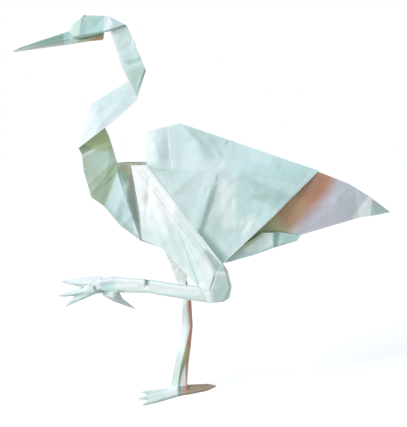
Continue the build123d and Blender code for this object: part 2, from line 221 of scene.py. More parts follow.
# Lines pressed into each piece, in millimetres: from X and Z to X and Z, the width on the left and
# on the right as one travels along the line, and the height
RELIEF = {
    "wings": (
        (8, 88.5, 16, 112.5, 6, 2.2, 1), (-5.4, 123.8, -6.5, 139, 0.9, 5, 0.45),
        (27.2, 78, 26.8, 115, 2.5, 7, 0.32), (35.1, 116.6, 58.9, 110.5, 1.2, 2.2, -0.3),
        (30.2, 88.7, 32.6, 93.9, 1.4, 1.6, -0.35), (33.5, 89, 35, 93, 1.2, 2, 0.3),
        (11.5, 103, 14, 110, 1.2, 1.2, 0.3), (32.3, 84.8, 65, 116.6, 0.8, 1.5, 0.15),
        (22.2, 130.9, 24.7, 132.4, 0.9, 0.9, -0.6), (9.5, 131.5, 20.5, 124.5, 2, 4, 0.3),
        (-4, 108, 6, 116.5, 3, 3, 0.3), (36, 104, 56, 103, 3, 4, -0.35),
        (12, 134, 18, 128, 1.5, 2.5, 0.35), (44, 122, 52, 112, 3, 3, 0.25),
        (3, 98, -3, 106, 2.5, 2.5, -0.25), (19.5, 98, 24.5, 108, 3, 2.5, 0.3),
    ),
    "vent_flaps": (
        (40, 86.6, 44.5, 79.5, 1.5, 1.5, -0.7), (47.5, 86.5, 46, 79.6, 1.5, 1.2, -0.7),
        (36, 84.5, 40.5, 78.5, 2, 2, 0.6), (30, 80, 33.5, 76.5, 1.2, 1.2, -0.4),
    ),
    "lower_neck": (
        (-48, 119, -37.5, 114.6, 1.5, 2, 0.4), (-46, 112, -33.5, 122, 2, 3, 0.3),
    ),
    "middle_neck": (
        (-41, 140, -28, 153.5, 3, 4, 0.3), (-46.5, 138, -40, 151, 2.5, 2.5, 0.25),
    ),
    "upper_neck": (
        (-31, 177, -23, 181, 2.5, 2.5, -0.3),
    ),
    "cheeks": (
        (-48.8, 184.5, -47.3, 193.8, 0.8, 1.2, -0.3), (-45, 192.5, -38.5, 185.5, 2, 2, 0.2),
    ),
    "beak": (
        (-79, 178, -56, 184, 0.8, 0.8, -0.25), (-66, 180.9, -56, 184.6, 0.6, 0.6, 0.25),
    ),
    "jaw": (
        (-46, 183, -38.5, 184.6, 0.6, 0.6, 0.25),
    ),
    "breast": (
        (-33, 95, -29, 108, 2.5, 2.5, 0.35), (-30, 90, -24, 97, 2, 2, 0.3),
    ),
    "drawn_thigh": (
        (-1.5, 74, -14, 104, 2.5, 3.5, 0.45), (5.5, 62.5, -14.5, 109.5, 2, 3, 0.4),
        (-17.6, 97, -16.4, 114, 1.5, 2, -0.35), (-10, 82.5, -17.5, 99, 3, 3, 0.3),
        (9.5, 66, 2, 78.5, 2, 3, 0.3), (2, 70, -6, 90, 1.5, 2, -0.3),
    ),
    "standing_thigh": (
        (-9, 76, 2, 67, 1.2, 1.2, 0.35), (-3, 62, -1, 66, 1.5, 1.5, -0.3),
    ),
    "shin": (
        (-18.3, 60.6, -17.2, 64.4, 1.2, 1.2, -0.6), (-35, 60, -22, 61, 1.5, 1.5, 0.25),
        (-12, 57.5, 10, 57, 1.8, 1.8, 0.2),
    ),
    "drawn_foot": (
        (-50.5, 53.6, -42.5, 58.2, 0.7, 0.7, -0.5), (-41.5, 56.6, -36.8, 58.7, 0.9, 0.9, 0.5),
        (-58, 61.3, -46, 61.8, 0.9, 0.9, 0.3), (-56, 52, -47, 55.5, 0.7, 0.7, 0.3),
        (-60, 54.6, -50, 57.4, 0.7, 0.7, 0.3),
    ),
    "standing_shin": (
        (-3.6, 6, -1.2, 22, 0.8, 0.8, -0.3), (-1.8, 3.5, 0.4, 13.5, 1, 1, -0.5),
    ),
}

# Painted light and shade on each piece, each mark painted over those before it: the strength of its
# colours, the softness of its edge in millimetres, and the corners of its outline in X and Z. Those of
# the standing foot, which is seen from above, are in X and Y.
SHADES = {
    "wings": (
        ({"painted_light": 0.4}, 4, "-17.5,121.5 -17.2,137 -13.5,138.5 -13,122"),
        ({"lilac": 0.35}, 3, "-11.6,139.2 -6.9,140.7 -5.7,124.7 -11.2,122.2"),
        ({"painted_light": 0.1}, 3, "-5.8,140 1,140.5 7.9,132 10.4,123.4 -4.9,123.4"),
        ({"teal": 0.25}, 3, "2,140.3 23.7,132.8 20.7,124.2 11.4,123.2 8.4,131.8"),
        ({"painted_light": 0.1}, 3, "-12.7,124.1 26.6,124.1 26.6,119.6 -12.8,119.6"),
        ({"teal": 0.75}, 3, "14.8,112.2 16.3,111.2 14.8,101.5 10.4,89.7 7.4,89.2 10.6,99.5"),
        ({"teal": 0.35}, 2, "11.5,112 13,111 11.5,104 10.3,104"),
        ({"painted_light": 0.35}, 4, "17.5,113 26,113 27,92 20,90"),
        ({"teal": 0.95}, 3.5, "7.9,90 11.9,88.5 16.8,82.8 22.8,76.1 20.8,71.9 15,76"),
        ({"deep": 0.5}, 3, "7.9,90 12.5,86 21.8,74.1 20.8,71.9 15,76"),
        ({"painted_lit_teal": 0.4}, 6, "26,134 46,125.8 69.2,117.5 60,108 44,94 28,84"),
        ({"painted_light": 0.15}, 6, "26,134 46,125.8 56,121.5 28,122"),
        ({"teal": 0.2}, 4, "46,125.8 69.2,117.5 60,110 44,116"),
        ({"painted_light": 0.4}, 3, "28,94 36,98 38,92 30,84"),
        ({"teal": 0.45}, 3, "37,113 57,105 50,98 35,105"),
        ({"teal": 0.3}, 2.5, "29,119 38,112 37,109 29,115"),
    ),
    "tail": (
        ({"lilac": 0.9}, 5, "76.9,118 88.4,112 86.9,90 69,84 55,82 58.9,93.5 69.6,105.4"),
        ({"warm": 0.95}, 8, "60.3,122.9 79.5,118.3 72.5,105.6 61.3,93.8 50.4,82.9 20,62 20,80"),
        ({"olive": 0.25}, 5, "44,99 55,108 64,100 50,84"),
        ({"deep": 0.25}, 5, "58,122 72,120 66,106 56,104"),
        ({"olive": 0.75}, 6, "41.8,99.8 52.4,87.5 41.9,79 26.9,68 18.9,67.2 27.9,85"),
        ({"deep": 0.35}, 4, "30,86 42,94 47,86 36,76 26,74"),
        ({"lilac": 0.85}, 1.2, "84,114 94.6,107.4 93.6,104.6 85.6,94.5 84.8,90 78,88 78,114"),
        ({"teal": 0.2}, 3, "84,114 94.6,107.4 93.6,104.6 85.6,94.5 84.8,90 76,88 76,114"),
        ({"painted_light": 0.35, "lilac": 0.25}, 1, "94.3,105.5 95.6,103.4 93.9,92 85.2,90 85.8,94.5"),
        ({"lilac": 0.4}, 1.2, "95,106 108,98 108,92 94.2,92"),
        ({"deep": 0.45}, 1.4, "95.2,106 108,98 108,92 94.4,92"),
        ({"teal": 0.5}, 1.5, "94.6,99 99,98 103,94 94,92"),
    ),
    "vent_flaps": (
        ({"painted_lit_teal": 0.7}, 4, "20,66 20,92 64,92 64,76"),
        ({"teal": 0.6}, 2, "50,90 62,90 62,78 49,78"),
        ({"painted_light": 0.6}, 1.2, "40,87.6 44.5,87.6 45.2,79.5 41.5,79"),
        ({"deep": 0.75}, 1.5, "45.4,88 49.5,88 47.4,79 45.8,79"),
        ({"teal": 0.5}, 2, "20,66 20,80 28,84 31,77"),
        ({"painted_light": 0.35}, 2.5, "29,83 40,87 41,80 33,75"),
        ({"olive": 0.8}, 1.3, "26,80.5 39.5,89 41,85.6 31,78.8 24,74.5"),
    ),
    "lower_neck": (
        ({"olive": 0.55}, 5, "-54,131 -36,142 -30,134 -30,114 -40,96 -50,100 -53,120"),
        ({"painted_lit_teal": 0.3}, 3, "-47,128 -37,130 -34,121 -44,117"),
        ({"teal": 0.45}, 2.5, "-53,126 -48.5,127 -46,113 -52,114"),
        ({"olive": 0.9}, 2.2, "-53.3,128.8 -36.8,142 -33,133 -33,127 -43.9,128.3 -51.4,124.7"),
        ({"deep": 0.6}, 1.3, "-53,130 -49,131.5 -44,129.2 -51,125.4"),
        ({"painted_light": 0.45}, 0.8, "-51.4,125.2 -43.3,129.2 -42.8,128.2 -50.8,123.9"),
        ({"olive": 0.85}, 1.4, "-31.8,122 -30.7,115.8 -38.5,96.9 -47.3,102.6 -45.8,105.2 -38.2,114.8"),
        ({"deep": 0.45}, 1.4, "-31.8,122 -31.6,116.8 -45.2,103.6 -46.2,105.4 -38.2,114.8"),
        ({"teal": 0.7}, 1.6, "-49.5,112 -46.5,111 -44,104 -47,103"),
    ),
    "middle_neck": (
        ({"painted_light": 0.15, "lilac": 0.16}, 4, "-60,120 -30,136 -14,152 -16,172 -50,156"),
        ({"painted_light": 0.4}, 4, "-60,120 -42,127 -42,146 -52,152"),
        ({"teal": 0.3}, 4, "-31,152 -27,159 -23,158 -27,148"),
    ),
    "upper_neck": (
        ({"painted_lit_teal": 0.85, "painted_light": 0.3}, 3, "-38,190 -24,192 -12,170 -20,146 -32,166"),
        ({"painted_light": 0.15}, 3, "-36,188 -24,190 -22,178 -34,176"),
        ({"teal": 0.15}, 3, "-27,169.5 -15,171.5 -14,160 -22,148 -27,163"),
        ({"olive": 0.25}, 3, "-26,168 -15,170 -14,160 -22,148 -27,163"),
        ({"teal": 0.6}, 1.6, "-27.6,172.2 -22,173.2 -18.2,178 -16,173.4 -26,170.2"),
        ({"painted_light": 0.35}, 1.6, "-26.6,170.2 -16.8,173 -16.4,171.4 -26,168.6"),
        ({"painted_light": 0.85}, 0.7, "-35.2,187 -33.6,187 -28.3,168.8 -21.6,153.6 -22.6,152 -30,168.8"),
        ({"deep": 0.9}, 0.9, "-20.9,160 -18.1,168.5 -17.8,171 -15,170 -19,151 -22.6,151.5"),
    ),
    "cheeks": (
        ({"teal": 0.4}, 2, "-60,180 -60,192 -52,196 -46.6,196 -48.4,182"),
        ({"teal": 0.8}, 1.5, "-46.8,196 -36.6,196 -38.2,184.5 -48.6,182"),
        ({"deep": 0.55}, 1.5, "-49.8,182 -48.2,195.6 -46.2,195.6 -47.6,182"),
        ({"olive": 0.2}, 2, "-60,180 -60,192 -52,196 -48.6,196 -50,182"),
        ({"painted_light": 0.6, "lilac": 0.35}, 0.9, "-36.1,196 -35.1,196 -34.3,190.9 -35.4,186.4 -37.2,186.2"),
        ({"deep": 0.9}, 0.9, "-53,184.2 -37.5,187.2 -35.4,187.8 -26,190.4 -26,187.2 -37,185.4 -53,182"),
    ),
    "beak": (
        ({"teal": 0.75}, 3, "-84,180 -84,172 -50,176 -50,189"),
        ({"olive": 0.35, "lilac": 0.5}, 1.5, "-80,178 -80,174 -54,178 -54,182.6"),
        ({"deep": 0.38}, 1.5, "-82,178.4 -82,174 -54,178 -54,183"),
        ({"deep": 0.85}, 1.3, "-84,177.6 -68.7,183.5 -54.5,188.3 -51,186 -52,182.9 -68.7,179.8"),
        ({"painted_lit_teal": 0.3}, 1.5, "-57.6,187 -54,188 -53,178 -56.6,178"),
        ({"warm": 0.15}, 2, "-78,178.6 -78,174 -56,177 -56,182"),
    ),
    "jaw": (
        ({"teal": 0.4, "olive": 0.4}, 2, "-60,178 -46,178 -46,188 -60,188"),
        ({"olive": 0.95}, 2, "-50.3,186 -35,189 -35,180 -49.2,179"),
        ({"deep": 0.42}, 1.5, "-50.3,186 -35,189 -35,184.4 -50,182.2"),
        ({"warm": 0.85}, 1.5, "-43.3,183.4 -35,185 -35,180 -46.2,180"),
    ),
    "breast": (
        ({"olive": 0.75}, 1.6, "-33.2,119.5 -31.5,118 -38.5,98 -47,103"),
        ({"teal": 0.35}, 3, "-37,112 -34,112 -38.5,96 -47,103"),
        ({"lilac": 0.3, "painted_lit_teal": 0.35}, 3, "-31.5,116 -38,99 -28,84 -20,80 -25,98"),
        ({"teal": 0.5}, 2, "-41,103 -30.5,93.5 -24,86.8 -16,82 -18,78 -42,86 -48,100"),
        ({"olive": 0.75}, 1.5, "-32.5,124 -20,124 -21.6,104 -26.6,104 -31.4,117.6"),
        ({"lilac": 0.45}, 1.6, "-29.5,114 -21,114 -19,84 -22,84 -27,104"),
        ({"painted_light": 0.6}, 1.5, "-24.6,91.5 -20.6,89.5 -19.6,82 -24.5,86"),
        ({"deep": 0.7}, 2.4, "-32.5,124 -26.9,124 -26.4,113 -29,111 -31.4,117.6"),
        ({"deep": 0.2}, 0.8, "-26.6,104 -22.4,104 -19.4,84 -20.8,82"),
        ({"olive": 0.35}, 1.8, "-27.6,104 -20,104 -19,84 -20.6,84"),
        ({"warm": 0.3}, 1.8, "-33,124 -19,124 -19,100 -22.2,100 -24.2,110 -27,115 -31.5,119"),
        ({"painted_light": 0.55}, 1.2, "-25.8,117 -16,120 -16,84 -20.8,84 -23.4,102.4"),
    ),
    "drawn_thigh": (
        ({"painted_light": 0.9}, 5, "-29,125 -10,125 0,108 -6,86 -30,92"),
        ({"painted_light": 0.48}, 5, "0,108 26,75 10,48 -30,78 -30,90 -6,86"),
        ({"lilac": 0.12}, 3, "-13.5,103 -9.5,103 3.5,70 -3,74"),
        ({"painted_lit_teal": 0.25}, 6, "-22,100 8,84 10,50 -30,78"),
        ({"teal": 0.35}, 2.5, "11.5,79.5 13.6,80 21.8,71.4 16.5,67"),
        ({"deep": 0.4}, 2.4, "11,79.4 12.4,80.4 20.8,70.8 17.6,67.6"),
        ({"painted_light": 0.7}, 0.8, "12.2,82.2 21.6,71.8 20.6,71 11.6,81.4"),
        ({"teal": 0.3}, 2, "-18.7,109.4 -16.3,106.4 -17.3,101.3 -19.8,104.3"),
    ),
    "standing_thigh": (
        ({"painted_light": 0.95}, 3, "-30,125 30,125 30,50 -30,50"),
    ),
    "knee": (
        ({"teal": 0.4}, 2, "17.2,68 24,67 26,60 22,52 15.5,52 15,60"),
        ({"painted_light": 0.7}, 1.5, "16.6,70.6 17.4,67.5 14.6,60 16,53 8,50 6,64"),
        ({"deep": 0.3}, 1.5, "14.6,70.2 19.6,75 22.6,71.5 22,69 17,70"),
        ({"warm": 0.6}, 1.5, "20.5,75 27,66 24.6,66 21.5,70.4"),
        ({"painted_light": 0.4}, 1.2, "15.8,70.2 21.6,69 21.4,67.8 16.4,68.8"),
        ({"deep": 0.75}, 1, "15.6,67.6 16.4,66.8 13.8,60.4 12.8,59.8"),
    ),
    "shin": (
        ({"painted_light": 0.65}, 4, "-46,70 18,66 18,50 -46,50"),
        ({"deep": 0.9}, 1.4, "-18.8,64.6 -16.4,64.4 -16.8,61.4 -18.6,61.6"),
        ({"painted_lit_teal": 0.8}, 1.2, "-41,63.4 -33.6,62.6 -34.4,57 -40,57.6"),
        ({"deep": 0.8}, 1, "-32.5,58.9 -28.7,58.3 -29.2,56 -33,56.5"),
        ({"teal": 0.35}, 1.2, "-40.5,62 -35,60.2 -38.3,55.4 -44,57.2"),
        ({"deep": 0.75}, 1, "-42.5,59.6 -38.6,58.4 -38.8,56.4 -42.6,57.6"),
        ({"painted_lit_teal": 0.4}, 3, "-34,60 18,57 18,48 -34,50"),
        ({"lilac": 0.35}, 2, "-41,67 -33,67 -33,61 -41,61"),
    ),
    "drawn_foot": (
        ({"painted_light": 0.35}, 3, "-66,70 -38,70 -38,60 -66,56"),
        ({"lilac": 0.5}, 2.5, "-66,65 -57.5,65 -57.5,46 -66,46"),
        ({"teal": 0.7}, 0.7, "-61.5,62.2 -50,59.9 -49.4,58.9 -50.6,58.6 -61.5,61"),
        ({"teal": 0.7}, 0.7, "-63.5,54.9 -54,55.6 -46,57.4 -46,56.6 -54,54.4 -63.5,53.9"),
        ({"teal": 0.6}, 0.7, "-59.5,49.4 -45,56.2 -45,55 -59.5,48"),
        ({"deep": 0.9}, 1.2, "-44.8,60.6 -43.2,61 -42.8,58.8 -44.4,58.6"),
        ({"deep": 0.8}, 1.2, "-43,58.6 -37,58.4 -37.4,57.2 -43.4,57"),
    ),
    "drawn_back_toe": (
        ({"lilac": 0.8}, 2, "-44,60 -20,56 -20,44 -44,50"),
        ({"warm": 0.25}, 3, "-31,57 -20,52 -20,44 -31,48"),
        ({"painted_lit_teal": 0.8}, 1.5, "-41,62 -31.5,61 -35,54.4 -40,55"),
        ({"painted_light": 0.6}, 1.2, "-38.6,60.4 -31.5,59.6 -34,54.6 -37.6,55"),
        ({"teal": 0.6}, 1, "-34.6,55.6 -31.5,55 -28,51 -30,51 -35,54"),
    ),
    "standing_shin": (
        ({"painted_light": 0.7}, 1.5, "-8,60 1,60 1.8,46 2.2,34 0.4,22 -8,22"),
        ({"painted_light": 0.35}, 1.5, "-8,22 0.4,22 -2.4,12 -2,0 -8,0"),
        ({"olive": 0.25}, 2, "-8,20 0,20 -2,0 -8,0"),
        ({"olive": 0.45}, 0.9, "-4.2,22 -3.2,22 -4.4,8 -5.6,3 -5.8,6"),
        ({"warm": 0.9}, 1.2, "1.8,60 2.4,46 3.4,34 1.4,25 0.2,16 1.2,12 1.6,0 6,0 8,30 6,60"),
        ({"olive": 0.8}, 1.5, "1.8,26 0.4,21 -1.6,13 -2.4,7 -1,7 1,14 3,22"),
        ({"deep": 0.6}, 1, "0.4,17 -1.8,10 -2.6,5 -1.4,5 1,12"),
        ({"painted_light": 0.9}, 1.2, "-0.9,8 1.2,14.5 1.5,0 -1.8,0"),
    ),
    "standing_foot": (
        ({"painted_light": 0.45}, 3, "-30,10 3,10 3,-20 -30,-20"),
        ({"painted_light": 0.6}, 2, "-8,4 -3,6 -3,-6 -8,-8"),
        ({"olive": 0.25}, 3, "-30,10 -11,10 -8,-20 -30,-20"),
        ({"teal": 0.8}, 0.9, "-22.7,-1.5 -16.6,-4 -11.5,-4.2 -16.6,-5 -22.7,-2.4"),
        ({"teal": 0.8}, 0.9, "-22.9,-10.6 -17.1,-10.3 -11,-8 -17.1,-11.3 -22.9,-11.4"),
        ({"teal": 0.6}, 0.9, "-20.5,-18.4 -12.7,-13.8 -2,-5.4 -2,-6.4 -12.7,-14.8 -20.5,-19.4"),
        ({"warm": 0.85}, 0.8, "-1,-7 4,-7 4,3 0.2,0.2"),
        ({"deep": 0.8}, 1.2, "-3.4,8 -2.4,-6 -0.6,-6 0.4,8"),
    ),
    "standing_back_toe": (
        ({"warm": 0.95, "olive": 0.15, "deep": 0.3}, 3, "0.5,-2 20,-2 20,6 0.5,6"),
    ),
}


def smooth(value):
    """Eases values from 0 to 1, and keeps them there."""
    t = np.clip(value, 0, 1)
    return t * t * (3 - 2 * t)


def reach(points, lines):
    """Distance from each point to the nearest of the lines."""
    nearest = np.full(len(points), np.inf)
    for start, end in lines:
        along = end - start
        share = np.clip((points - start) @ along / max(along @ along, NO_LENGTH), 0, 1)
        nearest = np.minimum(nearest, np.linalg.norm(points - start - share[:, None] * along, axis=1))
    return nearest


def stroke(flat, x0, z0, x1, z1, left, right):
    """How strongly a pressed line marks each point: 1 on the line, fading out to left and right.

    The line is drawn in the picture's plane, X and Z. Left and right are as one travels along it.
    """
    start, end = np.array((x0, z0)) * MM, np.array((x1, z1)) * MM
    along = end - start
    share = np.clip((flat - start) @ along / (along @ along), 0, 1)
    away = flat - start - share[:, None] * along
    turned = away[:, 0] * along[1] - away[:, 1] * along[0]
    width = np.where(turned > 0, right, left) * MM
    return np.clip(1 - np.linalg.norm(away, axis=1) / width, 0, 1)


def inside(flat, outline, soft):
    """How far inside an outline each point lies: from 0 to 1 over the soft edge.

    The outline is a line of corners, each with its two coordinates in millimetres, as in 3,-4.5.
    """
    corners = np.array([corner.split(",") for corner in outline.split()], float) * MM
    sides = list(zip(corners, np.roll(corners, -1, axis=0)))
    within = np.zeros(len(flat), bool)
    for (x1, z1), (x2, z2) in sides:
        crossed = (z1 > flat[:, 1]) != (z2 > flat[:, 1])
        at = x1 + (flat[:, 1] - z1) * (x2 - x1) / (z2 - z1 or 1)
        within ^= crossed & (flat[:, 0] < at)
    near = reach(flat, sides)
    return smooth(0.5 + np.where(within, near, -near) / (soft * MM))


def crumpled(point, spread, seed):
    """Height of crumpled paper: soft chips between sharp ridges and valleys, mostly -0.5 to 0.5."""
    finer, valley_share = 1.9, 0.55
    wider, bow_share = 0.4, 0.5
    at = point / spread + Vector((seed * 7.3, seed * 3.1, seed * 5.7))
    ridge = abs(noise.noise(at))
    valley = abs(noise.noise(at * finer + Vector((11.3, 4.7, 8.1))))
    bow = noise.noise(at * wider)
    return valley_share * valley - ridge + bow_share * bow


def refine(points, faces, longest):
    """Splits each edge that is longer than asked at its middle, until none is left."""
    points, middles = list(points), {}

    def middle(first, second):
        pair = (min(first, second), max(first, second))
        if pair not in middles:
            middles[pair] = None
            if (points[first] - points[second]).length > longest:
                points.append((points[first] + points[second]) / 2)
                middles[pair] = len(points) - 1
        return middles[pair]

    waiting, done = list(faces), []
    while waiting:
        a, b, c = waiting.pop()
        ab, bc, ca = middle(a, b), middle(b, c), middle(c, a)
        count = 3 - (ab, bc, ca).count(None)
        if count == 0:
            done.append((a, b, c))
            continue
        # The face is turned so that its split edges come first
        while ab is None or (count == 2 and bc is None):
            a, b, c, ab, bc, ca = b, c, a, bc, ca, ab
        if count == 1:
            waiting += [(a, ab, c), (ab, b, c)]
        elif count == 2:
            waiting += [(ab, b, bc), (a, ab, bc), (a, bc, c)]
        else:
            waiting += [(a, ab, ca), (ab, b, bc), (ca, bc, c), (ab, bc, ca)]
    return points, done


def edge_list(faces):
    """Every edge once, and the number of faces on it."""
    corners = np.array(faces)
    edges = np.sort(np.concatenate((corners[:, :2], corners[:, 1:], corners[:, ::2])), axis=1)
    return np.unique(edges, axis=0, return_counts=True)


def relax(depths, faces, free, turns):
    """Rounds soft folds: each free point moves to the middle of its neighbours, turn by turn."""
    edges = edge_list(faces)[0]
    first, second = edges[:, 0], edges[:, 1]
    size = len(depths)
    count = np.bincount(edges.ravel(), minlength=size)
    for _ in range(turns):
        total = np.bincount(first, depths[second], size) + np.bincount(second, depths[first], size)
        depths = depths + (total / count - depths) * free
    return depths


def shade_marks(context, flat, shades):
    """Colour and strength of the painted light and shade on each point, later marks over earlier ones."""
    marks = np.zeros((len(flat), 4))
    for paints, soft, outline in shades:
        cover = inside(flat, outline, soft)
        for kind, amount in paints.items():
            share = amount * cover
            left = marks[:, 3] * (1 - share)
            colour = np.array(getattr(context.scene.crane_paper, kind + "_colour"))
            total = np.maximum(share + left, NO_SHADE)
            marks[:, :3] = (colour * share[:, None] + marks[:, :3] * left[:, None]) / total[:, None]
            marks[:, 3] = share + left
    return marks


def crumple_paper(context, name, coarse, creases, seed, sideways=True, relief=(), soft=0, crumple=1.0,
                  fine=1.0, plane=(0, 2)):
    """Makes the piece: refines its facets, rounds and crumples them, marks creases and paints light and
    shade on it.

    Sideways, the paper moves out from the middle plane only; else it moves along its normals.
    The plane is that of the piece's pressed lines and painted light and shade: the axes of its two
    coordinates.
    """
    paper, middle = context.scene.crane_paper, context.scene.crane_fold.middle
    coarser = 1
    points, faces = refine(*coarse, paper.detail * fine * coarser)
    mesh = bpy.data.meshes.new(name)
    mesh.from_pydata(points, [], faces)
    places = np.array(points)
    flat = places[:, plane].copy()
    gap = reach(places, [np.array(line) for line in creases])
    if sideways:
        moves = np.zeros_like(places)
        moves[:, 1] = np.where(abs(places[:, 1] - middle) < SEAM, 0, np.sign(places[:, 1] - middle))
        free = smooth(gap / EASE_IN) * abs(moves[:, 1])
        places[:, 1] = relax(places[:, 1], faces, free, soft)
    else:
        moves = np.array([vert.normal for vert in mesh.vertices])
    chips = np.array([crumpled(point, paper.crumple_spread, seed) for point in points])
    heights = smooth(gap / paper.flat_band) * paper.crumple * crumple * chips
    for *line, height in (*relief, *RELIEF.get(name, ())):
        heights += height * MM * stroke(flat, *line)
    places += moves * heights[:, None]
    mesh.vertices.foreach_set("co", places.ravel())
    worn = mesh.attributes.new("crease", "FLOAT", "POINT")
    worn.data.foreach_set("value", np.exp(-gap / paper.crease_width))
    shade = mesh.attributes.new("shade", "FLOAT_COLOR", "POINT")
    shade.data.foreach_set("color", shade_marks(context, flat, SHADES[name]).ravel())
    mesh.update()
    piece = bpy.data.objects.new(name, mesh)
    context.scene.collection.objects.link(piece)
    return piece


def thicken(context, piece):
    """Gives a sheet the thickness of its pressed layers."""
    layers = piece.modifiers.new("layers", "SOLIDIFY")
    layers.thickness = context.scene.crane_paper.thickness
    layers.offset = -1
    layers.thickness_clamp = 1
    context.view_layer.update()
    thick = bpy.data.meshes.new_from_object(piece.evaluated_get(context.evaluated_depsgraph_get()))
    piece.modifiers.clear()
    piece.data = thick


def finish_piece(context, piece):
    """Puts the piece in paper, with crisp creases, on the crane's body."""
    piece.data.shade_smooth()
    piece.data.set_sharp_from_angle(angle=CRISP_ANGLE)
    piece.data.materials.clear()
    piece.data.materials.append(mint_tissue(context))
    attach(piece, "root")
    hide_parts("crane")


def fold_sheet(context, name, facets, sides=(-1, 1), lift=0.0, hard=None, **finish):
    """A folded sheet of facets between named corners, mirrored to the sides asked for.

    Each facet is a line of corner names, fanned from its first corner. Side -1 is the crane's
    left, 1 its right. The sides share the corners on the middle plane, so the paper runs over
    the ridge in one piece. A lift moves the other corners out, to lie on the layer below.
    With a list of hard creases, only those, the ridge and the sheet's edges stay crisp.
    """
    middle = context.scene.crane_fold.middle
    points, faces, creases, made = [], [], [], {}

    def corner(word, side):
        x, out, z = CORNERS[word]
        key = (word, side if out > 0 else 0)
        if key not in made:
            made[key] = len(points)
            points.append(Vector((x * MM, middle + key[1] * (out + lift) * MM, z * MM)))
        return made[key]

    for side in sides:
        for facet in facets:
            ring = [corner(word, side) for word in facet.split()]
            for first, second in zip(ring, ring[1:] + ring[:1]):
                if hard is None or points[first].y == points[second].y == middle:
                    creases.append((first, second))
            for second, third in zip(ring[1:], ring[2:]):
                away = (points[second] - points[ring[0]]).cross(points[third] - points[ring[0]]).y * side
                faces.append((ring[0], second, third) if away > 0 else (ring[0], third, second))
        for crease in hard or ():
            ring = [corner(word, side) for word in crease.split()]
            creases += zip(ring, ring[1:])
    edges, counts = edge_list(faces)
    creases += [tuple(edge) for edge in edges[counts == 1]]
    lines = [(points[a], points[b]) for a, b in creases]
    piece = crumple_paper(context, name, (points, faces), lines, **finish)
    thicken(context, piece)
    finish_piece(context, piece)


def fold_body(context, name, bm, creases, **finish):
    """A closed body of tightly pressed layers, from its coarse mesh."""
    bm.normal_update()
    bmesh.ops.triangulate(bm, faces=bm.faces[:])
    bmesh.ops.recalc_face_normals(bm, faces=bm.faces[:])
    bm.verts.index_update()
    points = [vert.co * MM for vert in bm.verts]
    faces = [tuple(vert.index for vert in face.verts) for face in bm.faces]
    bm.free()
    lines = [(Vector(start) * MM, Vector(end) * MM) for start, end in creases]
    piece = crumple_paper(context, name, (points, faces), lines, sideways=False, **finish)
    finish_piece(context, piece)


def fold_rings(context, name, rings, **finish):
    """Tightly folded layers: flat faces between rings of points, closed at both ends."""
    bm = bmesh.new()
    loops = [[bm.verts.new(point) for point in ring] for ring in rings]
    creases = []
    for lower, upper in zip(loops, loops[1:]):
        for turn in range(len(lower)):
            after = (turn + 1) % len(lower)
            bm.faces.new((lower[turn], lower[after], upper[after], upper[turn]))
            creases.append((lower[turn].co.copy(), upper[turn].co.copy()))
    bm.faces.new(loops[0])
    bm.faces.new(loops[-1])
    fold_body(context, name, bm, creases, **finish)


def fold_slab(context, name, corners, facets, outline, place, **finish):
    """A flat folded pad: facets over an outline, with a flat back where its height is 0."""
    bm = bmesh.new()
    words = outline.split()
    top = {word: bm.verts.new(place(*at)) for word, at in corners.items()}
    back = {word: bm.verts.new(place(*corners[word][:2], 0)) for word in words}
    creases = []
    for facet in facets:
        ring = [top[word] for word in facet.split()]
        creases += [(a.co.copy(), b.co.copy()) for a, b in zip(ring, ring[1:] + ring[:1])]
        for second, third in zip(ring[1:], ring[2:]):
            bm.faces.new((ring[0], second, third))
    for first, second in zip(words, words[1:] + words[:1]):
        bm.faces.new((top[first], top[second], back[second], back[first]))
    bm.faces.new([back[word] for word in words])
    fold_body(context, name, bm, creases, **finish)


def add_node(tree, kind, settings=None, links=None):
    """Adds a shader node, sets its values by name or number, and links its inputs."""
    node = tree.nodes.new("ShaderNode" + kind)
    for key, value in (settings or {}).items():
        if isinstance(key, str) and hasattr(node, key):
            setattr(node, key, value)
        else:
            node.inputs[key].default_value = value
    for key, source in (links or {}).items():
        tree.links.new(source, node.inputs[key])
    return node


def new_material(name):
    """An empty node material, and its nodes."""
    material = bpy.data.materials.new(name)
    material.use_nodes = True
    material.node_tree.nodes.clear()
    return material, material.node_tree


def rgba(colour):
    """A colour with full opacity."""
    return (*colour, 1)


